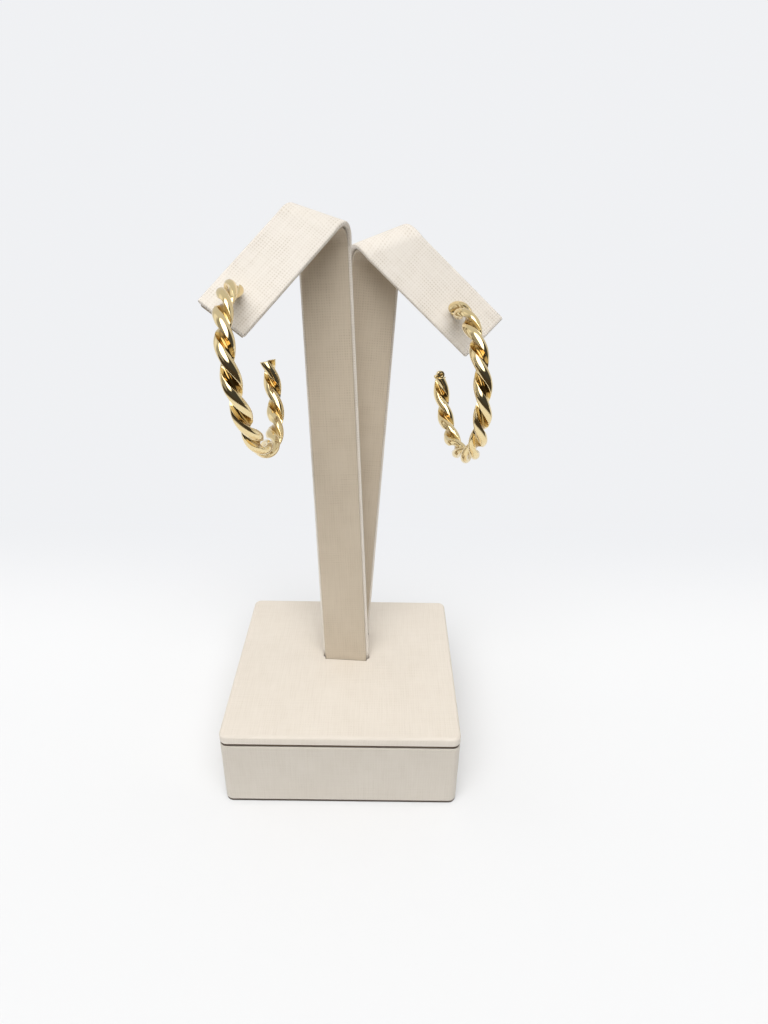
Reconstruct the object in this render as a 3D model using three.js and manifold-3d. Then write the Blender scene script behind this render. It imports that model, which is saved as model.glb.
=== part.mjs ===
// A pair of twisted hoop earrings, hung on a two-armed leatherette display stand.
// Millimetres, +Z up. The stand rests on z = 0, its foot is centred on x = y = 0, and its front faces -Y.
import * as THREE from 'three';
import { mergeVertices } from 'three/addons/utils/BufferGeometryUtils.js';
import Module from 'manifold-3d';

const wasm = await Module();
wasm.setup();

// Clearance between pieces that rest on each other
const GAP = 0.3;

// Foot: a wrapped box with a separately wrapped panel on it
const FOOT_WIDTH = 64;
const FOOT_DEPTH = 61;
const BOX_HEIGHT = 21.2;
const PANEL_THICKNESS = 2.8;
const FOOT_TOP = BOX_HEIGHT + GAP + PANEL_THICKNESS;
const CORNER_RADIUS = 1.4;
const EDGE_ROLL = 0.8;
const SOCKET_DEPTH = 1;

// Arms: flat strips, wrapped outside and lined inside, folded over on a slanting line
const ARM_WIDTH = 13.7;
const WRAP_THICKNESS = 1.3;
const LINING_THICKNESS = 0.7;
const LINING_INSET = 0.7;
const ARM_THICKNESS = LINING_THICKNESS + GAP + WRAP_THICKNESS;
const FOLD_RADIUS = 3.7;
const FOLD_STEPS = 12;
const WRAP_EDGE_RADIUS = 0.55;
const LINING_EDGE_RADIUS = 0.25;

// Hoops: a two-lobed tube, twisted to the left along a ring that is open at the back
const RING_RADIUS = 18.4;
const LOBE_RADIUS = 1.4;
const LOBE_SPACING = 1.7;
const LOBE_STEPS = 5;
const GROOVE_HALF_WIDTH = 1.0;
const GROOVE_WALL_FOOT = 0.75;
const GROOVE_FLOOR = 0.4;
const HALF_TURN_DEG = 23.8;
const ARC_START_DEG = 8;
const STATIONS_PER_HALF_TURN = 7;
const POST_RADIUS = 0.45;
const POST_LENGTH = 10.5;
const POST_ROOT = 1;
const POST_HOLE_RADIUS = 0.8;
const COLLAR_RADIUS = 1.15;
const COLLAR_START = 0.6;

// Catch on the back end of the right-hand hoop: a short drilled tube and a small ball
const CATCH_RADIUS = 1.1;
const CATCH_LENGTH = 1.7;
const CATCH_BORE_RADIUS = 0.42;
const CATCH_BORE_DEPTH = 1.2;
const CATCH_BALL_RADIUS = 0.55;

// side is -1 where the arm folds to the left and 1 to the right. Lean, turn, slant and fold are in degrees;
// holeFromEnd and holeAcross place the ear post on the sloping end, the three hoop angles hang the ring, and
// firstGroove and arcEnd are angles on the ring: where a groove faces the side, and where the ring ends.
const ARMS = [
  {
    name: 'left', side: -1, footX: 0.1, footY: 0.5, leanSide: -2.9, leanBack: 11.6, turn: -3.5,
    legLength: 117.7, slopeLength: 32.4, foldSlant: 19.8, foldAngle: 152.6,
    holeFromEnd: 7.6, holeAcross: -1.2, hoopTurn: -5.6, hoopRise: 22.3, hoopRoll: 12.6,
    firstGroove: 28.7, arcEnd: 284, hasCatch: false,
  },
  {
    name: 'right', side: 1, footX: -0.2, footY: 10.8, leanSide: 4.0, leanBack: 11.5, turn: 4.4,
    legLength: 111.7, slopeLength: 33.2, foldSlant: 25.1, foldAngle: 167.5,
    holeFromEnd: 10.4, holeAcross: -0.9, hoopTurn: 10.7, hoopRise: 21.9, hoopRoll: 2.9,
    firstGroove: 26.6, arcEnd: 280, hasCatch: true,
  },
];

const rad = THREE.MathUtils.degToRad;
const leatherette = new THREE.MeshStandardMaterial({ color: 0xe9dfd2, roughness: 0.6, metalness: 0 });
const lining = new THREE.MeshStandardMaterial({ color: 0xdcd0c0, roughness: 0.7, metalness: 0 });
const gold = new THREE.MeshStandardMaterial({ color: 0xe0b863, roughness: 0.15, metalness: 1 });

function solidFrom(geometry) {
  const bare = geometry.clone();
  bare.deleteAttribute('normal');
  bare.deleteAttribute('uv');
  const merged = mergeVertices(bare, 1e-4);
  const vertProperties = new Float32Array(merged.getAttribute('position').array);
  const triVerts = new Uint32Array(merged.getIndex().array);
  return new wasm.Manifold(new wasm.Mesh({ numProp: 3, vertProperties, triVerts }));
}

function geometryFrom(solid) {
  const mesh = solid.getMesh();
  const geometry = new THREE.BufferGeometry();
  geometry.setAttribute('position', new THREE.BufferAttribute(new Float32Array(mesh.vertProperties), 3));
  geometry.setIndex(new THREE.BufferAttribute(new Uint32Array(mesh.triVerts), 1));
  geometry.computeVertexNormals();
  return geometry;
}

function namedMesh(name, solid, material) {
  const mesh = new THREE.Mesh(geometryFrom(solid), material);
  mesh.name = name;
  return mesh;
}

// Closed skin over a row of loops with the same number of points, each running the same way round
function loftGeometry(loops) {
  const count = loops[0].length;
  const positions = loops.flat().flatMap((point) => point.toArray());
  const index = [];
  for (let row = 0; row + 1 < loops.length; row += 1) {
    for (let i = 0; i < count; i += 1) {
      const a = row * count + i;
      const b = row * count + ((i + 1) % count);
      index.push(a, b, b + count, a, b + count, a + count);
    }
  }
  const last = (loops.length - 1) * count;
  for (const [first, flip] of [[0, true], [last, false]]) {
    const centre = loops[first / count].reduce((sum, point) => sum.add(point), new THREE.Vector3());
    positions.push(...centre.divideScalar(count).toArray());
    const hub = positions.length / 3 - 1;
    for (let i = 0; i < count; i += 1) {
      const a = first + i;
      const b = first + ((i + 1) % count);
      index.push(...(flip ? [hub, b, a] : [hub, a, b]));
    }
  }
  const geometry = new THREE.BufferGeometry();
  geometry.setAttribute('position', new THREE.Float32BufferAttribute(positions, 3));
  geometry.setIndex(index);
  return geometry;
}

function roundedRectangle(width, depth, radius) {
  const x = width / 2 - radius;
  const y = depth / 2 - radius;
  const shape = new THREE.Shape();
  shape.absarc(x, y, radius, 0, rad(90));
  shape.absarc(-x, y, radius, rad(90), rad(180));
  shape.absarc(-x, -y, radius, rad(180), rad(270));
  shape.absarc(x, -y, radius, rad(270), rad(360));
  return shape;
}

function wrappedSlab(height, bottom) {
  const outline = roundedRectangle(FOOT_WIDTH - 2 * EDGE_ROLL, FOOT_DEPTH - 2 * EDGE_ROLL, CORNER_RADIUS);
  const slab = new THREE.ExtrudeGeometry(outline, {
    depth: height - 2 * EDGE_ROLL, bevelThickness: EDGE_ROLL, bevelSize: EDGE_ROLL,
    bevelSegments: 3, curveSegments: 4,
  });
  return slab.translate(0, 0, bottom + EDGE_ROLL);
}

// Rounded outline of a strip's cross-section, as points across the strip (x) and through it (y)
function stripSection(width, low, high, radius, inset = 0) {
  const stepsPerCorner = 3;
  const bend = Math.max(radius - inset, 0.05);
  const points = [];
  for (const [sideways, up, start] of [[1, -1, 270], [1, 1, 0], [-1, 1, 90], [-1, -1, 180]]) {
    const x = sideways * (width / 2 - inset - bend);
    const y = up > 0 ? high - inset - bend : low + inset + bend;
    for (let i = 0; i < stepsPerCorner; i += 1) {
      const angle = rad(start + (90 * i) / (stepsPerCorner - 1));
      points.push(new THREE.Vector2(x + bend * Math.cos(angle), y + bend * Math.sin(angle)));
    }
  }
  return points;
}

// Point of an arm in its own frame: +X across, +Z up the leg, +Y to the back. The strip is flat along its
// inner face from the foot, and past the fold line it turns forward about that slanting line.
function stripPoint(arm, along, across, height) {
  const slant = rad(arm.foldSlant) * arm.side;
  const foldLine = new THREE.Vector3(Math.cos(slant), 0, Math.sin(slant));
  const rise = new THREE.Vector3(-Math.sin(slant), 0, Math.cos(slant));
  const past = (along - arm.legLength) * Math.cos(slant) - across * Math.sin(slant);
  const sideways = across * Math.cos(slant) + (along - arm.legLength) * Math.sin(slant);
  const turn = THREE.MathUtils.clamp(past / FOLD_RADIUS, 0, rad(arm.foldAngle));
  const straight = past < 0 ? past : Math.max(past - FOLD_RADIUS * rad(arm.foldAngle), 0);
  const radius = FOLD_RADIUS + height;
  const up = radius * Math.sin(turn) + straight * Math.cos(turn);
  const forward = FOLD_RADIUS - radius * Math.cos(turn) + straight * Math.sin(turn);
  return new THREE.Vector3(0, 0, arm.legLength)
    .addScaledVector(rise, up)
    .addScaledVector(foldLine, sideways)
    .add(new THREE.Vector3(0, -forward, 0));
}

function stripEnd(arm) {
  return arm.legLength + FOLD_RADIUS * rad(arm.foldAngle) + arm.slopeLength;
}

// Distance along the strip at which it is cut level, sunk into the foot by the given depth
function levelCut(frame, across, height, depth) {
  const column = (i) => new THREE.Vector3().setFromMatrixColumn(frame, i);
  const [acrossAxis, backAxis, upAxis] = [0, 1, 2].map(column);
  return (-depth - across * acrossAxis.z - height * backAxis.z) / upAxis.z;
}

// The strip between two heights over its inner face, from its sunken foot to the end of its slope
function stripGeometry(arm, frame, width, low, high, radius) {
  const slant = rad(arm.foldSlant) * arm.side;
  const section = stripSection(width, low, high, radius);
  const footAt = (p) => levelCut(frame, p.x, p.y, SOCKET_DEPTH - GAP);
  const loops = [section.map((p) => stripPoint(arm, footAt(p), p.x, p.y))];
  for (let i = 0; i <= FOLD_STEPS; i += 1) {
    const past = (FOLD_RADIUS * rad(arm.foldAngle) * i) / FOLD_STEPS;
    const alongAt = (across) => arm.legLength + (past + across * Math.sin(slant)) / Math.cos(slant);
    loops.push(section.map((p) => stripPoint(arm, alongAt(p.x), p.x, p.y)));
  }
  for (const [back, inset] of [[radius, 0], [0.3 * radius, 0.3 * radius], [0, radius]]) {
    const shrunk = stripSection(width, low, high, radius, inset);
    loops.push(shrunk.map((p) => stripPoint(arm, stripEnd(arm) - back, p.x, p.y)));
  }
  return loftGeometry(loops);
}

// Frame of an arm: its foot on the panel, with the leg's lean and turn
function armFrame(arm) {
  const up = new THREE.Vector3(Math.tan(rad(arm.leanSide)), Math.tan(rad(arm.leanBack)), 1).normalize();
  const across = new THREE.Vector3(Math.cos(rad(arm.turn)), Math.sin(rad(arm.turn)), 0);
  across.addScaledVector(up, -across.dot(up)).normalize();
  const back = new THREE.Vector3().crossVectors(up, across);
  return new THREE.Matrix4().makeBasis(across, back, up).setPosition(arm.footX, arm.footY, FOOT_TOP);
}

// The leg's lower end with clearance all round, to be cut out of the panel
function socketSolid(arm, frame) {
  const section = stripSection(ARM_WIDTH + 2 * GAP, -GAP, ARM_THICKNESS + GAP, WRAP_EDGE_RADIUS);
  const loops = [SOCKET_DEPTH, -SOCKET_DEPTH].map((depth) => section.map((p) => {
    const point = new THREE.Vector3(p.x, p.y, levelCut(frame, p.x, p.y, depth));
    return point.applyMatrix4(frame);
  }));
  return solidFrom(loftGeometry(loops));
}

// Frame of a hoop: origin on the slope's outer face, +X out of the face, +Z away from the ring's centre
function hoopFrame(arm, frame) {
  const along = stripEnd(arm) - arm.holeFromEnd;
  const origin = stripPoint(arm, along, arm.holeAcross, ARM_THICKNESS).applyMatrix4(frame);
  const rise = rad(arm.hoopRise);
  const turn = rad(arm.hoopTurn);
  const out = new THREE.Vector3(Math.sin(turn), -Math.cos(turn), 0)
    .multiplyScalar(Math.cos(rise))
    .setZ(Math.sin(rise));
  const level = new THREE.Vector3().crossVectors(out, new THREE.Vector3(0, 0, 1)).normalize();
  const top = new THREE.Vector3().crossVectors(level, out).applyAxisAngle(out, rad(arm.hoopRoll));
  const axle = new THREE.Vector3().crossVectors(top, out);
  return new THREE.Matrix4().makeBasis(out, axle, top).setPosition(origin);
}

// Two overlapping lobes with a steep-walled groove between them on either side
function hoopSection() {
  const rim = Math.acos((GROOVE_HALF_WIDTH - LOBE_SPACING / 2) / LOBE_RADIUS);
  const half = [];
  for (let i = 0; i <= LOBE_STEPS; i += 1) {
    const angle = -rim + (2 * rim * i) / LOBE_STEPS;
    const x = LOBE_SPACING / 2 + LOBE_RADIUS * Math.cos(angle);
    half.push(new THREE.Vector2(x, LOBE_RADIUS * Math.sin(angle)));
  }
  half.push(new THREE.Vector2(GROOVE_WALL_FOOT, GROOVE_WALL_FOOT));
  half.push(new THREE.Vector2(0, GROOVE_FLOOR));
  half.push(new THREE.Vector2(-GROOVE_WALL_FOOT, GROOVE_WALL_FOOT));
  return [...half, ...half.map((p) => new THREE.Vector2(-p.x, -p.y))];
}

// Place on the ring at an angle from its top, with the directions outward and across the ring
function ringPlace(angleDeg) {
  const angle = rad(angleDeg);
  const outward = new THREE.Vector3(Math.sin(angle), 0, Math.cos(angle));
  const centre = new THREE.Vector3(0, 0, -RING_RADIUS).addScaledVector(outward, RING_RADIUS);
  return { centre, outward, across: new THREE.Vector3(0, -1, 0) };
}

function hoopLoop(arm, section, angleDeg) {
  const { centre, outward, across } = ringPlace(angleDeg);
  const twist = rad(90 - (180 * (angleDeg - arm.firstGroove)) / HALF_TURN_DEG);
  const long = outward.clone().multiplyScalar(Math.cos(twist)).addScaledVector(across, Math.sin(twist));
  const short = outward.clone().multiplyScalar(-Math.sin(twist)).addScaledVector(across, Math.cos(twist));
  return section.map((p) => centre.clone().addScaledVector(long, p.x).addScaledVector(short, p.y));
}

function catchSolid(arm) {
  const { centre, outward } = ringPlace(arm.arcEnd);
  const inward = outward.clone().negate();
  const tangent = new THREE.Vector3(Math.cos(rad(arm.arcEnd)), 0, -Math.sin(rad(arm.arcEnd)));
  const seat = centre.clone().addScaledVector(tangent, 0.75 * CATCH_RADIUS);
  const turned = new THREE.Quaternion().setFromUnitVectors(new THREE.Vector3(0, 1, 0), inward);
  const place = (geometry, point) => (
    solidFrom(geometry.applyQuaternion(turned).translate(...point.toArray()))
  );
  const tube = place(new THREE.CylinderGeometry(CATCH_RADIUS, CATCH_RADIUS, CATCH_LENGTH, 16), seat);
  const boreLength = CATCH_BORE_DEPTH + GAP;
  const boreCentre = seat.clone().addScaledVector(inward, CATCH_LENGTH / 2 + GAP - boreLength / 2);
  const bore = place(
    new THREE.CylinderGeometry(CATCH_BORE_RADIUS, CATCH_BORE_RADIUS, boreLength, 10),
    boreCentre,
  );
  const ballCentre = seat.clone()
    .addScaledVector(new THREE.Vector3(0, -1, 0), CATCH_RADIUS + 0.6 * CATCH_BALL_RADIUS)
    .addScaledVector(inward, CATCH_LENGTH / 4)
    .addScaledVector(tangent, -0.4 * CATCH_RADIUS);
  const ball = place(new THREE.SphereGeometry(CATCH_BALL_RADIUS, 10, 8), ballCentre);
  return tube.add(ball).subtract(bore);
}

function hoopSolid(arm) {
  const section = hoopSection();
  const arc = arm.arcEnd - ARC_START_DEG;
  const stations = Math.round((arc / HALF_TURN_DEG) * STATIONS_PER_HALF_TURN);
  const loops = [];
  for (let i = 0; i <= stations; i += 1) {
    loops.push(hoopLoop(arm, section, ARC_START_DEG + (arc * i) / stations));
  }
  const { centre } = ringPlace(ARC_START_DEG);
  const post = new THREE.CylinderGeometry(POST_RADIUS, POST_RADIUS, POST_LENGTH, 10)
    .rotateZ(rad(90))
    .translate(centre.x + POST_ROOT - POST_LENGTH / 2, 0, centre.z);
  const collar = new THREE.CylinderGeometry(COLLAR_RADIUS, COLLAR_RADIUS, centre.x - COLLAR_START, 16)
    .rotateZ(rad(90))
    .translate((centre.x + COLLAR_START) / 2, 0, centre.z);
  const ring = solidFrom(loftGeometry(loops)).add(solidFrom(post)).add(solidFrom(collar));
  return arm.hasCatch ? ring.add(catchSolid(arm)) : ring;
}

// Hole for the ear post through the slope, along the post and in the arm's own frame
function postHoleSolid(arm, frame, hoop) {
  const hole = new THREE.CylinderGeometry(POST_HOLE_RADIUS, POST_HOLE_RADIUS, 4 * ARM_THICKNESS, 16);
  const { centre } = ringPlace(ARC_START_DEG);
  hole.rotateZ(rad(90)).translate(0, 0, centre.z).applyMatrix4(hoop);
  return solidFrom(hole.applyMatrix4(frame.clone().invert()));
}

function addArm(group, arm, frame, hoop) {
  const hole = postHoleSolid(arm, frame, hoop);
  const wrapLow = LINING_THICKNESS + GAP;
  const wrap = stripGeometry(arm, frame, ARM_WIDTH, wrapLow, ARM_THICKNESS, WRAP_EDGE_RADIUS);
  const liningWidth = ARM_WIDTH - 2 * LINING_INSET;
  const inner = stripGeometry(arm, frame, liningWidth, 0, LINING_THICKNESS, LINING_EDGE_RADIUS);
  const placed = new THREE.Group();
  placed.applyMatrix4(frame);
  placed.add(namedMesh(`arm_${arm.name}`, solidFrom(wrap).subtract(hole), leatherette));
  placed.add(namedMesh(`arm_${arm.name}_lining`, solidFrom(inner).subtract(hole), lining));
  group.add(placed);
}

function addHoop(group, arm, hoop) {
  const mesh = namedMesh(`hoop_${arm.name}`, hoopSolid(arm), gold);
  mesh.applyMatrix4(hoop);
  group.add(mesh);
}

function addFoot(group, frames) {
  group.add(namedMesh('base_box', solidFrom(wrappedSlab(BOX_HEIGHT, 0)), leatherette));
  let panel = solidFrom(wrappedSlab(PANEL_THICKNESS, BOX_HEIGHT + GAP));
  ARMS.forEach((arm, i) => {
    panel = panel.subtract(socketSolid(arm, frames[i]));
  });
  group.add(namedMesh('base_top', panel, leatherette));
}

const stand = new THREE.Group();
const frames = ARMS.map(armFrame);
addFoot(stand, frames);
ARMS.forEach((arm, i) => {
  const hoop = hoopFrame(arm, frames[i]);
  addArm(stand, arm, frames[i], hoop);
  addHoop(stand, arm, hoop);
});

export default stand;
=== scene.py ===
"""A pair of twisted gold hoop earrings, hung on a two-armed leatherette display stand.

The pieces are worked out in millimetres and turned to metres as their meshes are made. +Z is up, the stand
rests on z = 0 with its foot centred on x = y = 0, and its front faces -Y.
"""
import math

import bpy
import numpy as np
from mathutils import Matrix


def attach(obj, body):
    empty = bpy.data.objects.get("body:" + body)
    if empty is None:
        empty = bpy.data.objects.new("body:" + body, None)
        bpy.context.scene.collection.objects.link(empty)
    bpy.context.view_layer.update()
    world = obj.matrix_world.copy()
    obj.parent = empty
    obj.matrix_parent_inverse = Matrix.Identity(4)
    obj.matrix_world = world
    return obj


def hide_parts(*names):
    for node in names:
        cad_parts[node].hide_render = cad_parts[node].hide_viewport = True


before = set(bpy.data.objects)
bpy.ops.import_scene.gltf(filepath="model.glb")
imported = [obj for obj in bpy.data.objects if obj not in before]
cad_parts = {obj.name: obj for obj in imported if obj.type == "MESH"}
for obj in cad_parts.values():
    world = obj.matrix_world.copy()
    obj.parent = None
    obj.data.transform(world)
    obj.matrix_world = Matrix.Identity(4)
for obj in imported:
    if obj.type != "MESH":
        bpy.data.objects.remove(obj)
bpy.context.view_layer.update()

MM = 0.001
GAP = 0.3

# Pitch of the leatherette's weave, and the place on it that marks the dark board of painted shade: it is
# far from every place on the leatherette
WEAVE_PITCH = 0.68
SHADE_BOARD_PLACE = -1000

# Foot: a wrapped box with a separately wrapped panel on it. The leatherette ends short of the floor and of
# the seam, so that a dark board shows there as a line of painted shade, set back a little and clear of the
# panel.
FOOT_WIDTH = 64
FOOT_DEPTH = 61
BOX_HEIGHT = 21.2
PANEL_THICKNESS = 2.8
FOOT_TOP = BOX_HEIGHT + GAP + PANEL_THICKNESS
CORNER_RADIUS = 1.4
FOOT_CORNER_STEPS = 9
EDGE_ROLL = 0.8
ROLL_STEPS = 9
SEAM_ROLL = 0.25
BOX_TOP_ROLL = 0.8
SEAM_OPENING = 0.65
SEAM_DEPTH = 0.12
WRAP_LIFT = 0.65
CORE_CLEARANCE = 0.03
SOCKET_DEPTH = 1
SOCKET_CLEARANCE = 0.12

# Arms: flat strips, wrapped outside and lined inside, folded over on a slanting line
ARM_WIDTH = 13.7
WRAP_THICKNESS = 1.3
LINING_THICKNESS = 0.7
LINING_INSET = 0.7
LINING_WIDTH = ARM_WIDTH - 2 * LINING_INSET
WRAP_LOW = LINING_THICKNESS + GAP
ARM_THICKNESS = WRAP_LOW + WRAP_THICKNESS
FOLD_RADIUS = 3.7
WRAP_EDGE_RADIUS = 0.55
LINING_EDGE_RADIUS = 0.25
LEG_ROWS = 40
FOLD_ROWS = 40
SLOPE_ROWS = 12
END_ROWS = 6
CORNER_STEPS = 7

# Hoops: a two-lobed tube, twisted to the left along a ring that is open at the back. The groove's power
# sets how steeply its walls rise.
RING_RADIUS = 18.4
LOBE_RADIUS = 1.4
LOBE_SPACING = 1.7
GROOVE_HALF_WIDTH = 1.0
GROOVE_FLOOR = 0.4
GROOVE_POWER = 2.6
HALF_TURN_DEG = 23.8
ARC_START_DEG = 8
RING_STATIONS = 420
LOBE_STEPS = 26
GROOVE_STEPS = 18
POST_RADIUS = 0.45
POST_LENGTH = 10.5
POST_ROOT = 1
COLLAR_RADIUS = 1.15
COLLAR_START = 0.6
COLLAR_BEVEL = 0.2
POST_HOLE_RADIUS = 0.8

# Catch on the back end of the right-hand hoop: a short drilled tube and a small ball
CATCH_RADIUS = 1.1
CATCH_SEAT = 0.75 * CATCH_RADIUS
CATCH_LENGTH = 1.7
CATCH_BEVEL = 0.15
CATCH_BORE_RADIUS = 0.42
CATCH_BORE_DEPTH = 1.2
CATCH_BALL_RADIUS = 0.55
CATCH_BALL_ASIDE = CATCH_RADIUS + 0.6 * CATCH_BALL_RADIUS
CATCH_BALL_INWARD = CATCH_LENGTH / 4
CATCH_BALL_BACK = 0.4 * CATCH_RADIUS

# side is -1 where the arm folds to the left and 1 to the right. Lean, turn, slant and fold are in degrees;
# hole_from_end and hole_across place the ear post on the sloping end, the hoop angles hang the ring, and
# first_groove and arc_end are angles on the ring: where a groove faces the side, and where the ring ends.
ARMS = [
    dict(
        name="left", side=-1, foot_x=0.1, foot_y=0.5, lean_side=-2.9, lean_back=11.6, turn=-3.5,
        leg_length=117.7, slope_length=32.4, fold_slant=19.8, fold_angle=152.6,
        hole_from_end=7.6, hole_across=-1.2, hoop_turn=-5.6, hoop_rise=22.3, hoop_roll=12.6,
        first_groove=28.7, arc_end=284, has_catch=False,
    ),
    dict(
        name="right", side=1, foot_x=-0.2, foot_y=10.8, lean_side=4.0, lean_back=11.5, turn=4.4,
        leg_length=111.7, slope_length=33.2, fold_slant=25.1, fold_angle=167.5,
        hole_from_end=10.4, hole_across=-0.9, hoop_turn=10.7, hoop_rise=21.9, hoop_roll=2.9,
        first_groove=26.6, arc_end=280, has_catch=True,
    ),
]

# Colours of the backdrop and of the dark board, which is painted shade in the seam and under the foot
BACKDROP = (0.871, 0.880, 0.900, 1)
SHADE_BOARD_COLOUR = (0.12, 0.085, 0.055, 1)

# Camera, in metres and degrees: it stands in front of the foot and looks down at it
CAMERA_PLACE = (0.00924, -0.15844, 0.16105)
CAMERA_PITCH_DEG = 28.40
CAMERA_ROLL_DEG = 1.125
CAMERA_YAW_DEG = -0.525
CAMERA_LENS = 23.87


# Vectors

def unit(vector):
    return np.asarray(vector, float) / np.linalg.norm(vector)


def turned_about(axis, vector, angle):
    """The vector turned about a unit axis by an angle in radians."""
    return (
        vector * math.cos(angle)
        + np.cross(axis, vector) * math.sin(angle)
        + axis * np.dot(axis, vector) * (1 - math.cos(angle))
    )


class Place:
    """A right-handed frame with its origin, in millimetres."""

    def __init__(self, x_axis, y_axis, z_axis, origin):
        self.axes = np.array([x_axis, y_axis, z_axis], float)
        self.origin = np.asarray(origin, float)

    def out(self, points):
        """Points given in this frame, as points of the object."""
        return np.asarray(points, float) @ self.axes + self.origin


# Meshes

class Skin:
    """Collects points, the faces between them and each corner's place on the weave, in millimetres."""

    def __init__(self):
        self.points = []
        self.faces = []
        self.weave = []

    def loft(self, rings, weave, level_ends=False):
        """Skin over closed rings, capped at both ends. A row of weave has one place more than a ring has
        points. With level ends the weave runs along X and Y on the caps."""
        first = len(self.points)
        count = len(rings[0])
        for ring in rings:
            self.points.extend(ring)
        for row in range(len(rings) - 1):
            low = first + row * count
            for i in range(count):
                j = (i + 1) % count
                self.faces.append((low + i, low + j, low + j + count, low + i + count))
                self.weave.extend((weave[row][i], weave[row][i + 1]))
                self.weave.extend((weave[row + 1][i + 1], weave[row + 1][i]))
        last = first + (len(rings) - 1) * count
        starts = rings[0][:, :2] if level_ends else weave[0][:count]
        ends = rings[-1][:, :2] if level_ends else weave[-1][:count]
        self.cap(range(first + count - 1, first - 1, -1), starts[::-1])
        self.cap(range(last, last + count), ends)

    def cap(self, corners, weave):
        self.faces.append(tuple(corners))
        self.weave.extend(weave)

    def make(self, name):
        mesh = bpy.data.meshes.new(name)
        mesh.from_pydata((np.array(self.points) * MM).tolist(), [], self.faces)
        layer = mesh.uv_layers.new(name="weave")
        layer.uv.foreach_set("vector", np.array(self.weave, np.float32).ravel())
        mesh.shade_smooth()
        made = bpy.data.objects.new(name, mesh)
        bpy.context.scene.collection.objects.link(made)
        return made


def cut(piece, cutters):
    """Cuts closed objects out of a piece and removes them."""
    for cutter in cutters:
        modifier = piece.modifiers.new("cut", "BOOLEAN")
        modifier.operation = "DIFFERENCE"
        modifier.solver = "EXACT"
        modifier.object = cutter
    bpy.context.view_layer.update()
    graph = bpy.context.evaluated_depsgraph_get()
    mesh = bpy.data.meshes.new_from_object(piece.evaluated_get(graph))
    piece.modifiers.clear()
    piece.data = mesh
    for cutter in cutters:
        bpy.data.objects.remove(cutter)


def fit_out(piece, node, material, even=True):
    """Gives a piece its material and lets it stand for a node of the frame."""
    piece.data.materials.clear()
    piece.data.materials.append(material)
    if even:
        weighted = piece.modifiers.new("even shading", "WEIGHTED_NORMAL")
        weighted.weight = 100
        weighted.keep_sharp = True
    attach(piece, "root")
    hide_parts(node)


# Foot

def rounded_rectangle(width, depth, radius):
    """Outline of a rectangle with round corners, counter-clockwise."""
    points = []
    for sideways, ahead, start in ((1, 1, 0), (-1, 1, 90), (-1, -1, 180), (1, -1, 270)):
        centre = np.array([sideways * (width / 2 - radius), ahead * (depth / 2 - radius)])
        for angle in np.radians(np.linspace(start, start + 90, FOOT_CORNER_STEPS)):
            points.append(centre + radius * np.array([math.cos(angle), math.sin(angle)]))
    return np.array(points)


def arc_lengths(points):
    """Length along a closed row of points, with one more value than it has points."""
    steps = np.linalg.norm(np.roll(points, -1, axis=0) - points, axis=1)
    return np.concatenate([[0], np.cumsum(steps)])


def wrapped_slab(bottom, height, low_roll, high_roll):
    """A slab with round upright corners and rolled edges, with the weave running over each edge."""
    roll = np.radians(np.linspace(0, 90, ROLL_STEPS))
    low = [(low_roll * (1 - math.sin(a)), low_roll * (1 - math.cos(a))) for a in roll]
    high = [(high_roll * (1 - math.cos(a)), height - high_roll * (1 - math.sin(a))) for a in roll]
    rings = []
    weave = []
    climbed = 0
    for before, (inset, rise) in zip([low[0], *low, *high], [*low, *high]):
        climbed += math.hypot(inset - before[0], rise - before[1])
        radius = CORNER_RADIUS + EDGE_ROLL - inset
        outline = rounded_rectangle(FOOT_WIDTH - 2 * inset, FOOT_DEPTH - 2 * inset, radius)
        rings.append(np.column_stack([outline, np.full(len(outline), bottom + rise)]))
        weave.append(np.column_stack([arc_lengths(outline), np.full(len(outline) + 1, climbed)]))
    skin = Skin()
    skin.loft(rings, weave, level_ends=True)
    return skin


def add_shade_board(skin, bottom, top):
    """A dark board of painted shade, which shows as a dark line in the seam and under the foot."""
    radius = CORNER_RADIUS + EDGE_ROLL - SEAM_DEPTH
    outline = rounded_rectangle(FOOT_WIDTH - 2 * SEAM_DEPTH, FOOT_DEPTH - 2 * SEAM_DEPTH, radius)
    rings = [np.column_stack([outline, np.full(len(outline), level)]) for level in (bottom, top)]
    skin.loft(rings, np.full((2, len(outline) + 1, 2), SHADE_BOARD_PLACE))


# Arms

def strip_section(width, low, high, radius, inset=0.0):
    """Rounded outline of a strip's cross-section: across the strip, and through it from its inner face."""
    bend = max(radius - inset, 0.02)
    points = []
    for sideways, up, start in ((1, -1, 270), (1, 1, 0), (-1, 1, 90), (-1, -1, 180)):
        x = sideways * (width / 2 - inset - bend)
        y = high - inset - bend if up > 0 else low + inset + bend
        for angle in np.radians(np.linspace(start, start + 90, CORNER_STEPS)):
            points.append((x + bend * math.cos(angle), y + bend * math.sin(angle)))
    return np.array(points)


def strip_point(arm, along, across, height):
    """Points of an arm in its own frame: +X across, +Z up the leg, +Y to the back. Past the fold line the
    strip turns forward about that slanting line."""
    slant = math.radians(arm["fold_slant"]) * arm["side"]
    fold = math.radians(arm["fold_angle"])
    fold_line = np.array([math.cos(slant), 0, math.sin(slant)])
    rise = np.array([-math.sin(slant), 0, math.cos(slant)])
    past = (along - arm["leg_length"]) * math.cos(slant) - across * math.sin(slant)
    sideways = across * math.cos(slant) + (along - arm["leg_length"]) * math.sin(slant)
    turn = np.clip(past / FOLD_RADIUS, 0, fold)
    straight = np.where(past < 0, past, np.maximum(past - FOLD_RADIUS * fold, 0))
    radius = FOLD_RADIUS + height
    up = radius * np.sin(turn) + straight * np.cos(turn)
    forward = FOLD_RADIUS - radius * np.cos(turn) + straight * np.sin(turn)
    start = np.array([0, 0, arm["leg_length"]])
    return start + np.outer(up, rise) + np.outer(sideways, fold_line) - np.outer(forward, (0, 1, 0))


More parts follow.
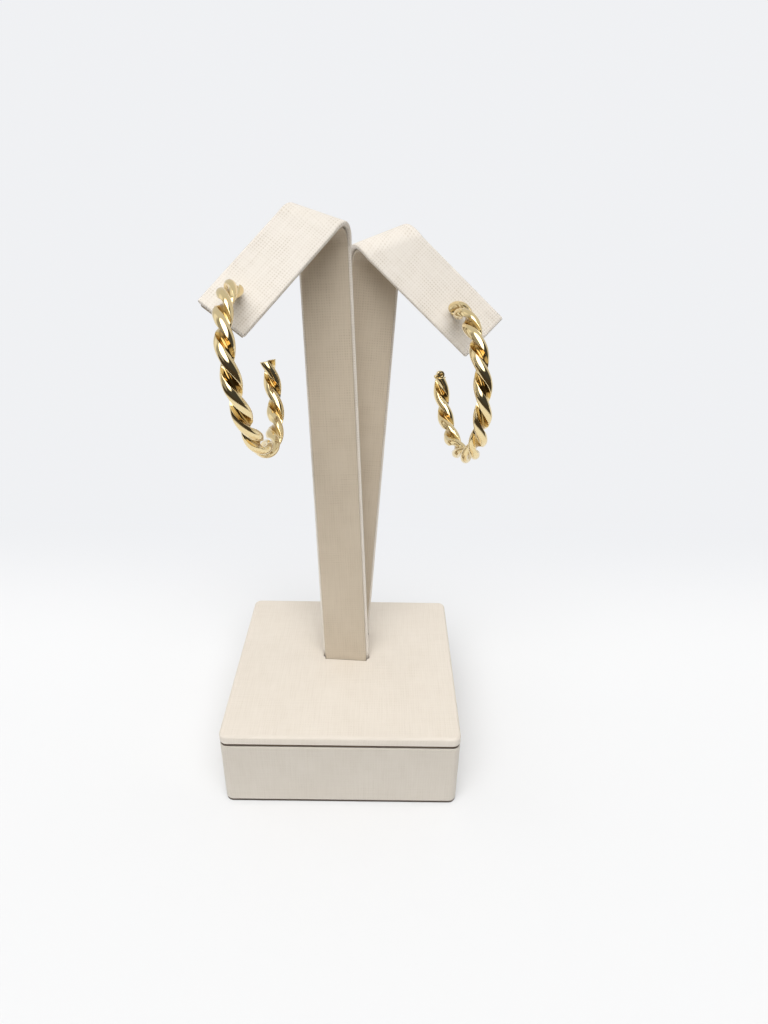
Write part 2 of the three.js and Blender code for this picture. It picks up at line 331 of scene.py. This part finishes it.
def strip_end(arm):
    return arm["leg_length"] + FOLD_RADIUS * math.radians(arm["fold_angle"]) + arm["slope_length"]


def level_cut(place, across, height, depth):
    """Distance along the strip at which it is cut level, sunk into the foot by the given depth."""
    return (-depth - across * place.axes[0][2] - height * place.axes[1][2]) / place.axes[2][2]


def arm_place(arm):
    """Frame of an arm: its foot on the panel, with the leg's lean and turn."""
    lean_side = math.tan(math.radians(arm["lean_side"]))
    lean_back = math.tan(math.radians(arm["lean_back"]))
    up = unit([lean_side, lean_back, 1])
    turn = math.radians(arm["turn"])
    across = np.array([math.cos(turn), math.sin(turn), 0])
    across = unit(across - up * np.dot(across, up))
    return Place(across, np.cross(up, across), up, (arm["foot_x"], arm["foot_y"], FOOT_TOP))


def strip_rows(arm, place, section, radius):
    """Rows of distances along the strip, one for each point of the section, with each row's inset."""
    slant = math.radians(arm["fold_slant"]) * arm["side"]
    fold = FOLD_RADIUS * math.radians(arm["fold_angle"])
    x, y = section.T

    def folded(past):
        return arm["leg_length"] + (past + x * math.sin(slant)) / math.cos(slant)

    foot = level_cut(place, x, y, SOCKET_DEPTH - GAP)
    for share in np.linspace(0, 1, LEG_ROWS, endpoint=False):
        yield foot + (folded(0) - foot) * share, 0
    for past in np.linspace(0, fold, FOLD_ROWS, endpoint=False):
        yield folded(past), 0
    end = strip_end(arm)
    for share in np.linspace(0, 1, SLOPE_ROWS):
        yield folded(fold) + (end - radius - folded(fold)) * share, 0
    for angle in np.radians(np.linspace(15, 90, END_ROWS)):
        inset = radius * (1 - math.cos(angle))
        yield np.full(len(x), end - radius * (1 - math.sin(angle))), inset


def strip(name, arm, place, width, low, high, radius):
    """The strip between two heights over its inner face, from its sunken foot to the end of its slope."""
    section = strip_section(width, low, high, radius)
    girth = arc_lengths(section)
    rings = []
    weave = []
    for along, inset in strip_rows(arm, place, section, radius):
        x, y = strip_section(width, low, high, radius, inset).T
        rings.append(place.out(strip_point(arm, along, x, y)))
        weave.append(np.column_stack([girth, np.append(along, along[0])]))
    skin = Skin()
    skin.loft(rings, weave)
    return skin.make(name)


def socket_cutter(place, width, low, high, radius):
    """The lower end of one of a leg's strips with clearance all round, to be cut out of the panel."""
    grown = SOCKET_CLEARANCE
    section = strip_section(width + 2 * grown, low - grown, high + grown, radius + grown)
    x, y = section.T
    rings = []
    for depth in (SOCKET_DEPTH, -SOCKET_DEPTH):
        rings.append(place.out(np.column_stack([x, y, level_cut(place, x, y, depth)])))
    skin = Skin()
    skin.loft(rings, np.full((2, len(section) + 1, 2), SHADE_BOARD_PLACE))
    return skin.make("socket")


# Hoops

def hoop_place(arm, place):
    """Frame of a hoop: origin on the slope's outer face, +X out of it, +Z away from the ring's centre."""
    along = np.array([strip_end(arm) - arm["hole_from_end"]])
    across = np.array([arm["hole_across"]])
    origin = place.out(strip_point(arm, along, across, ARM_THICKNESS))[0]
    rise = math.radians(arm["hoop_rise"])
    turn = math.radians(arm["hoop_turn"])
    out = np.array([math.cos(rise) * math.sin(turn), -math.cos(rise) * math.cos(turn), math.sin(rise)])
    level = unit(np.cross(out, (0, 0, 1)))
    top = turned_about(out, np.cross(level, out), math.radians(arm["hoop_roll"]))
    return Place(out, np.cross(top, out), top, origin)


def hoop_section():
    """Two overlapping lobes with a deep round groove between them on either side."""
    rim = math.acos((GROOVE_HALF_WIDTH - LOBE_SPACING / 2) / LOBE_RADIUS)
    angles = np.linspace(-rim, rim, LOBE_STEPS)
    across = LOBE_SPACING / 2 + LOBE_RADIUS * np.cos(angles)
    lobe = np.column_stack([across, LOBE_RADIUS * np.sin(angles)])
    rim_height = lobe[-1][1]
    share = np.sin(np.linspace(math.pi / 2, -math.pi / 2, GROOVE_STEPS + 2)[1:-1])
    depth = GROOVE_FLOOR + (rim_height - GROOVE_FLOOR) * np.abs(share) ** GROOVE_POWER
    groove = np.column_stack([GROOVE_HALF_WIDTH * share, depth])
    half = np.concatenate([lobe, groove])
    return np.concatenate([half, -half])


def ring_point(angle_deg):
    """Place on the ring at an angle from its top, with the directions outward and onward."""
    angle = math.radians(angle_deg)
    outward = np.array([math.sin(angle), 0, math.cos(angle)])
    onward = np.array([math.cos(angle), 0, -math.sin(angle)])
    return np.array([0, 0, -RING_RADIUS]) + outward * RING_RADIUS, outward, onward


def hoop_ring(arm, section, angle_deg):
    """The section as it is turned at an angle on the ring."""
    centre, outward, _ = ring_point(angle_deg)
    across = np.array([0, -1, 0])
    twist = math.radians(90 - 180 * (angle_deg - arm["first_groove"]) / HALF_TURN_DEG)
    long = outward * math.cos(twist) + across * math.sin(twist)
    short = across * math.cos(twist) - outward * math.sin(twist)
    return centre + np.outer(section[:, 0], long) + np.outer(section[:, 1], short)


def lathe_rings(centre, axis, profile, steps):
    """Rings about an axis, from rows of distance along the axis and radius."""
    side = unit(np.cross(axis, (0, 1, 0) if abs(axis[1]) < 0.9 else (1, 0, 0)))
    other = np.cross(axis, side)
    angles = np.linspace(0, 2 * math.pi, steps, endpoint=False)
    circle = np.outer(np.cos(angles), side) + np.outer(np.sin(angles), other)
    return [centre + axis * along + circle * max(radius, 0.001) for along, radius in profile]


def add_lathe(skin, place, centre, axis, profile, steps=32, weave=0):
    """A turned form, whose profile has rows of distance along the axis and radius."""
    rings = lathe_rings(np.asarray(centre, float), unit(axis), profile, steps)
    skin.loft([place.out(ring) for ring in rings], np.full((len(rings), steps + 1, 2), weave))


def add_post(skin, place):
    """The ear post, with a rounded tip, and the collar that keeps the ring off the slope."""
    centre, _, _ = ring_point(ARC_START_DEG)
    tip = []
    for angle in np.radians((0, 25, 50, 70, 85)):
        tip.append((POST_LENGTH - POST_RADIUS * (1 - math.sin(angle)), POST_RADIUS * math.cos(angle)))
    add_lathe(skin, place, centre + np.array([POST_ROOT, 0, 0]), (-1, 0, 0), [(0, POST_RADIUS), *tip])
    reach = centre[0] - COLLAR_START
    profile = [
        (0, COLLAR_RADIUS),
        (reach - COLLAR_BEVEL, COLLAR_RADIUS),
        (reach - 0.3 * COLLAR_BEVEL, COLLAR_RADIUS - 0.3 * COLLAR_BEVEL),
        (reach, COLLAR_RADIUS - COLLAR_BEVEL),
    ]
    add_lathe(skin, place, centre, (-1, 0, 0), profile)


def add_catch(skin, arm, place):
    """The drilled tube and the ball on the back end."""
    centre, outward, onward = ring_point(arm["arc_end"])
    inward = -outward
    seat = centre + onward * CATCH_SEAT
    half = CATCH_LENGTH / 2
    profile = [
        (-half, CATCH_RADIUS - CATCH_BEVEL),
        (-half + CATCH_BEVEL, CATCH_RADIUS),
        (half - CATCH_BEVEL, CATCH_RADIUS),
        (half - 0.3 * CATCH_BEVEL, CATCH_RADIUS - 0.3 * CATCH_BEVEL),
        (half, CATCH_RADIUS - CATCH_BEVEL),
        (half, CATCH_BORE_RADIUS + 0.4 * CATCH_BEVEL),
        (half - 0.4 * CATCH_BEVEL, CATCH_BORE_RADIUS),
        (half - CATCH_BORE_DEPTH, CATCH_BORE_RADIUS),
    ]
    add_lathe(skin, place, seat, inward, profile)
    ball = seat + np.array([0, -1, 0]) * CATCH_BALL_ASIDE
    ball = ball + inward * CATCH_BALL_INWARD - onward * CATCH_BALL_BACK
    angles = np.linspace(0, math.pi, 17)
    round_profile = [(-CATCH_BALL_RADIUS * math.cos(a), CATCH_BALL_RADIUS * math.sin(a)) for a in angles]
    add_lathe(skin, place, ball, inward, round_profile, 24)


def hoop(name, arm, place):
    """The twisted ring with its post. Its weave map says how far inside the groove each place lies, which
    sets the gold's painted shade there.
    """
    section = hoop_section()
    angles = np.linspace(ARC_START_DEG, arm["arc_end"], RING_STATIONS)
    skin = Skin()
    rings = [place.out(hoop_ring(arm, section, angle)) for angle in angles]
    depth = np.clip(1 - np.abs(section[:, 0]) / GROOVE_HALF_WIDTH, 0, 1)
    in_groove = np.column_stack([np.append(depth, depth[0]), np.zeros(len(section) + 1)])
    skin.loft(rings, [in_groove] * len(rings))
    add_post(skin, place)
    if arm["has_catch"]:
        add_catch(skin, arm, place)
    return skin.make(name)


def post_hole_cutter(place):
    """A rod round the ear post, to be cut out of the slope."""
    centre, _, _ = ring_point(ARC_START_DEG)
    skin = Skin()
    reach = 4 * ARM_THICKNESS
    profile = [(-reach / 2, POST_HOLE_RADIUS), (reach / 2, POST_HOLE_RADIUS)]
    add_lathe(skin, place, (0, 0, centre[2]), (1, 0, 0), profile, weave=SHADE_BOARD_PLACE)
    return skin.make("post_hole")


# Materials

def new_tree(name):
    material = bpy.data.materials.new(name)
    material.use_nodes = True
    material.node_tree.nodes.clear()
    return material, material.node_tree


def node(tree, kind, settings=(), **inputs):
    """Adds a node. An input is a plain value or the output socket that feeds it."""
    made = tree.nodes.new(kind)
    for key, value in dict(settings).items():
        setattr(made, key, value)
    for key, value in inputs.items():
        socket = made.inputs[int(key[1:])] if key[1:].isdigit() else made.inputs[key.replace("_", " ")]
        if isinstance(value, bpy.types.NodeSocket):
            tree.links.new(value, socket)
        else:
            socket.default_value = value
    return made


def maths(tree, operation, first, second=0.0, third=0.0):
    made = node(tree, "ShaderNodeMath", {"operation": operation}, i0=first, i1=second, i2=third)
    return made.outputs[0]


def ramp(tree, value, from_low, from_high, to_low=0.0, to_high=1.0, smooth=True):
    """A value carried from one range to another, clamped."""
    settings = {"interpolation_type": "SMOOTHSTEP" if smooth else "LINEAR"}
    made = node(
        tree, "ShaderNodeMapRange", settings,
        Value=value, From_Min=from_low, From_Max=from_high, To_Min=to_low, To_Max=to_high,
    )
    return made.outputs[0]


def mixed(tree, share, first, second):
    made = node(tree, "ShaderNodeMix", {"data_type": "RGBA"}, i0=share, i6=first, i7=second)
    return made.outputs[2]


def noise(tree, place, scale, detail=2.0, roughness=0.5):
    made = node(
        tree, "ShaderNodeTexNoise", (), Vector=place, Scale=scale, Detail=detail, Roughness=roughness,
    )
    return made.outputs["Fac"]


def stretched(tree, place, factors):
    made = node(tree, "ShaderNodeVectorMath", {"operation": "MULTIPLY"}, i0=place, i1=factors)
    return made.outputs[0]


def leatherette(name, colour, valley_colour, roughness, weave_share):
    """Cream leatherette embossed with a fine linen weave, whose threads vary along their length. The
    weave's pits and the dark board carry painted shade.
    """
    material, tree = new_tree(name)
    place = node(tree, "ShaderNodeUVMap", {"uv_map": "weave"}).outputs[0]
    wander = node(tree, "ShaderNodeTexNoise", (), Vector=place, Scale=0.35, Detail=2.0).outputs["Color"]
    wander = stretched(tree, wander, (0.5, 0.5, 0))
    threads = node(tree, "ShaderNodeVectorMath", {"operation": "ADD"}, i0=place, i1=wander).outputs[0]
    split = node(tree, "ShaderNodeSeparateXYZ", (), Vector=threads)
    waves = []
    for axis in (0, 1):
        phase = maths(tree, "MULTIPLY", split.outputs[axis], 2 * math.pi / WEAVE_PITCH)
        waves.append(maths(tree, "COSINE", phase))
    both = maths(tree, "MULTIPLY", maths(tree, "ADD", waves[0], waves[1]), 0.5)
    # Painted shade: the weave's pits darken the colour towards the valley colour
    pits = ramp(tree, both, 0.1, -0.9)
    along = noise(tree, stretched(tree, place, (1.6, 0.12, 1)), 1.0, 3.0, 0.6)
    across = noise(tree, stretched(tree, place, (0.12, 1.6, 1)), 1.0, 3.0, 0.6)
    slubs = maths(tree, "ADD", maths(tree, "MULTIPLY", along, 0.6), maths(tree, "MULTIPLY", across, 0.4))
    cloud = noise(tree, place, 0.08, 3.0)
    pit_share = maths(tree, "MULTIPLY", pits, ramp(tree, slubs, 0.35, 0.65, 0.5, 1.0))
    patches = ramp(tree, noise(tree, place, 0.14, 2.0), 0.35, 0.65, 0.35, 1.0)
    pit_share = maths(tree, "MULTIPLY", pit_share, patches)
    shade = maths(tree, "MULTIPLY", pit_share, weave_share)
    shade = maths(tree, "ADD", shade, ramp(tree, slubs, 0.35, 0.7, 0.0, 0.2))
    shade = maths(tree, "ADD", shade, ramp(tree, cloud, 0.3, 0.7, 0.0, 0.12))
    tint = mixed(tree, shade, (*colour, 1), (*valley_colour, 1))
    # Where the weave marks the dark board, the colour turns to the board's dark colour: painted shade
    place_across = node(tree, "ShaderNodeSeparateXYZ", (), Vector=place).outputs[0]
    covered = ramp(tree, place_across, 0.6 * SHADE_BOARD_PLACE, 0.4 * SHADE_BOARD_PLACE)
    tint = mixed(tree, covered, SHADE_BOARD_COLOUR, tint)
    height = maths(tree, "SUBTRACT", maths(tree, "MULTIPLY", slubs, 0.5), pit_share)
    height = maths(tree, "ADD", height, maths(tree, "MULTIPLY", cloud, 0.6))
    bump = node(tree, "ShaderNodeBump", (), Strength=0.5, Distance=0.05 * MM, Height=height)
    shine = ramp(tree, pit_share, 0.0, 1.0, roughness, roughness + 0.15, smooth=False)
    surface = node(
        tree, "ShaderNodeBsdfPrincipled", (),
        Base_Color=tint, Roughness=shine, IOR=1.46, Normal=bump.outputs[0],
    )
    surface.inputs["Specular IOR Level"].default_value = 0.45
    node(tree, "ShaderNodeOutputMaterial", (), Surface=surface.outputs[0])
    return material


def polished_gold(name):
    """Polished yellow gold with faint polishing marks, with painted shade and painted interreflection
    deepening its colour in the grooves.
    """
    material, tree = new_tree(name)
    place = node(tree, "ShaderNodeTexCoord").outputs["Object"]
    waves = noise(tree, place, 420.0, 2.0)
    marks = noise(tree, stretched(tree, place, (900.0, 2600.0, 900.0)), 1.0, 4.0, 0.7)
    shine = ramp(tree, marks, 0.35, 0.75, 0.05, 0.12)
    tint = mixed(tree, ramp(tree, waves, 0.3, 0.7), (0.88, 0.725, 0.42, 1), (0.86, 0.69, 0.38, 1))
    groove = node(tree, "ShaderNodeUVMap", {"uv_map": "weave"}).outputs[0]
    inside = node(tree, "ShaderNodeSeparateXYZ", (), Vector=groove).outputs[0]
    # Painted shade and painted interreflection: inside the grooves the gold turns a deep brown
    tint = mixed(tree, ramp(tree, inside, 0.12, 0.6), tint, (0.42, 0.26, 0.08, 1))
    height = maths(tree, "ADD", waves, maths(tree, "MULTIPLY", marks, 0.06))
    bump = node(tree, "ShaderNodeBump", (), Strength=0.35, Distance=0.012 * MM, Height=height)
    surface = node(
        tree, "ShaderNodeBsdfPrincipled", (),
        Base_Color=tint, Metallic=1.0, Roughness=shine, Normal=bump.outputs[0],
    )
    node(tree, "ShaderNodeOutputMaterial", (), Surface=surface.outputs[0])
    return material


# Floor, light and camera

def floor_material():
    """White table, which turns to a pale grey behind the stand and gives way to a dim room around it."""
    material, tree = new_tree("floor_white")
    place = node(tree, "ShaderNodeTexCoord").outputs["Object"]
    split = node(tree, "ShaderNodeSeparateXYZ", (), Vector=place)
    behind = ramp(tree, split.outputs[1], 0.03, 0.125)
    near = node(tree, "ShaderNodeBsdfDiffuse", (), Color=(0.79, 0.80, 0.82, 1))
    far = node(tree, "ShaderNodeEmission", (), Color=BACKDROP, Strength=1.0)
    blend = node(tree, "ShaderNodeMixShader", (), i0=behind, i1=near.outputs[0], i2=far.outputs[0])
    away = node(tree, "ShaderNodeVectorMath", {"operation": "LENGTH"}, i0=place).outputs["Value"]
    unlit = maths(tree, "MULTIPLY", ramp(tree, away, 0.18, 0.30), maths(tree, "SUBTRACT", 1.0, behind))
    seen = node(tree, "ShaderNodeLightPath").outputs["Is Camera Ray"]
    unlit = maths(tree, "MULTIPLY", unlit, maths(tree, "SUBTRACT", 1.0, seen))
    dim = node(tree, "ShaderNodeEmission", (), Color=(0.06, 0.048, 0.035, 1), Strength=1.0)
    whole = node(tree, "ShaderNodeMixShader", (), i0=unlit, i1=blend.outputs[0], i2=dim.outputs[0])
    node(tree, "ShaderNodeOutputMaterial", (), Surface=whole.outputs[0])
    return material


def add_floor():
    reach = 4.0
    corners = [(-reach, -reach, 0), (reach, -reach, 0), (reach, reach, 0), (-reach, reach, 0)]
    mesh = bpy.data.meshes.new("floor")
    mesh.from_pydata(corners, [], [(0, 1, 2, 3)])
    mesh.materials.append(floor_material())
    floor = bpy.data.objects.new("floor", mesh)
    bpy.context.scene.collection.objects.link(floor)


def glow(tree, heading, towards, cos_edge, cos_core):
    """1 near a direction, fading to 0 away from it."""
    settings = {"operation": "DOT_PRODUCT"}
    facing = node(tree, "ShaderNodeVectorMath", settings, i0=heading, i1=tuple(unit(towards)))
    return ramp(tree, facing.outputs["Value"], cos_edge, cos_core)


def set_world():
    """Pale studio in a dim room: a strong light above the front, the pale backdrop and a soft light to the
    left. A light is full within the cosine cos_core of its direction and gone outside cos_edge."""
    world = bpy.data.worlds.new("studio")
    bpy.context.scene.world = world
    world.use_nodes = True
    tree = world.node_tree
    tree.nodes.clear()
    heading = node(tree, "ShaderNodeTexCoord").outputs["Generated"]
    lights = (
        dict(towards=(-0.02, -0.52, 0.85), cos_edge=0.80, cos_core=0.90, power=3.4),
        dict(towards=(0.0, 1.0, 0.25), cos_edge=0.0, cos_core=0.3, power=0.6),
        dict(towards=(-0.95, -0.2, 0.3), cos_edge=0.72, cos_core=0.84, power=0.3),
    )
    dim_room = 0.06
    strength = dim_room
    for light in lights:
        share = glow(tree, heading, light["towards"], light["cos_edge"], light["cos_core"])
        strength = maths(tree, "ADD", maths(tree, "MULTIPLY", share, light["power"]), strength)
    lit = node(tree, "ShaderNodeBackground", (), Color=(1.0, 0.99, 0.97, 1), Strength=strength)
    shown = node(tree, "ShaderNodeBackground", (), Color=BACKDROP, Strength=1.0)
    seen = node(tree, "ShaderNodeLightPath").outputs["Is Camera Ray"]
    blend = node(tree, "ShaderNodeMixShader", (), i0=seen, i1=lit.outputs[0], i2=shown.outputs[0])
    node(tree, "ShaderNodeOutputWorld", (), Surface=blend.outputs[0])


def add_camera():
    pitch = math.radians(CAMERA_PITCH_DEG)
    roll = math.radians(CAMERA_ROLL_DEG)
    yaw = math.radians(CAMERA_YAW_DEG)
    level_right = np.array([math.cos(yaw), math.sin(yaw), 0])
    level_ahead = np.array([-math.sin(yaw), math.cos(yaw), 0])
    zenith = np.array([0, 0, 1])
    ahead = level_ahead * math.cos(pitch) - zenith * math.sin(pitch)
    up = level_ahead * math.sin(pitch) + zenith * math.cos(pitch)
    right = level_right * math.cos(roll) + up * math.sin(roll)
    up = up * math.cos(roll) - level_right * math.sin(roll)
    data = bpy.data.cameras.new("camera")
    data.lens = CAMERA_LENS
    data.sensor_width = 36
    data.sensor_fit = "AUTO"
    data.clip_start = 0.01
    camera = bpy.data.objects.new("camera", data)
    matrix = Matrix.Identity(4)
    for column, axis in enumerate((right, up, -ahead, CAMERA_PLACE)):
        for row in range(3):
            matrix[row][column] = axis[row]
    camera.matrix_world = matrix
    bpy.context.scene.collection.objects.link(camera)
    bpy.context.scene.camera = camera


def add_foot(places, panel_cream, box_shaded_cream):
    box_top = BOX_HEIGHT + GAP / 2 - SEAM_OPENING / 2
    bottom = box_top + SEAM_OPENING
    skin = wrapped_slab(WRAP_LIFT, box_top - WRAP_LIFT, SEAM_ROLL, BOX_TOP_ROLL)
    # Dark board under the wrap and in the seam: painted shade of the contact line and of the seam
    add_shade_board(skin, 0, WRAP_LIFT + SEAM_ROLL)
    add_shade_board(skin, box_top - CORE_CLEARANCE, bottom - CORE_CLEARANCE)
    box = skin.make("foot_box_wrapped")
    fit_out(box, "base_box", box_shaded_cream)
    panel = wrapped_slab(bottom, FOOT_TOP - bottom, SEAM_ROLL, EDGE_ROLL).make("foot_panel_wrapped")
    cutters = []
    for place in places:
        cutters.append(socket_cutter(place, ARM_WIDTH, WRAP_LOW, ARM_THICKNESS, WRAP_EDGE_RADIUS))
        cutters.append(socket_cutter(place, LINING_WIDTH, 0, WRAP_LOW, LINING_EDGE_RADIUS))
    cut(panel, cutters)
    fit_out(panel, "base_top", panel_cream)


def add_arm(arm, place, hoop_at, arm_lit_cream, lining_cream_and_shade):
    name = arm["name"]
    wrap = strip(f"arm_{name}_wrap", arm, place, ARM_WIDTH, WRAP_LOW, ARM_THICKNESS, WRAP_EDGE_RADIUS)
    cut(wrap, [post_hole_cutter(hoop_at)])
    fit_out(wrap, f"arm_{name}", arm_lit_cream)
    inner = strip(f"arm_{name}_inner", arm, place, LINING_WIDTH, 0, LINING_THICKNESS, LINING_EDGE_RADIUS)
    cut(inner, [post_hole_cutter(hoop_at)])
    fit_out(inner, f"arm_{name}_lining", lining_cream_and_shade)


def main():
    add_camera()
    add_floor()
    set_world()
    bpy.context.scene.view_settings.view_transform = "Standard"
    panel_cream = leatherette(
        "panel_leatherette", colour=(0.75, 0.69, 0.615), valley_colour=(0.60, 0.535, 0.45),
        roughness=0.42, weave_share=0.3,
    )
    # The box's wrap is the panel's leatherette made darker: painted shade on the foot's upright sides
    box_shaded_cream = leatherette(
        "box_leatherette_painted_shade", colour=(0.63, 0.583, 0.517), valley_colour=(0.505, 0.453, 0.382),
        roughness=0.42, weave_share=0.3,
    )
    # The arms' wrap is the same leatherette made lighter: painted light on the slopes that face the lamp
    arm_lit_cream = leatherette(
        "arm_leatherette_painted_light", colour=(0.845, 0.795, 0.73), valley_colour=(0.62, 0.555, 0.47),
        roughness=0.36, weave_share=0.8,
    )
    # The lining is darker and warmer than the wrap; part of that darkness is painted shade of the dim leg
    # fronts
    lining_cream_and_shade = leatherette(
        "lining_leatherette_and_shade", colour=(0.59, 0.51, 0.405), valley_colour=(0.43, 0.355, 0.265),
        roughness=0.5, weave_share=0.6,
    )
    gold = polished_gold("polished_gold")
    places = [arm_place(arm) for arm in ARMS]
    add_foot(places, panel_cream, box_shaded_cream)
    for arm, place in zip(ARMS, places):
        hoop_at = hoop_place(arm, place)
        add_arm(arm, place, hoop_at, arm_lit_cream, lining_cream_and_shade)
        ring = hoop(f"hoop_{arm['name']}_twisted", arm, hoop_at)
        fit_out(ring, f"hoop_{arm['name']}", gold, even=False)


main()
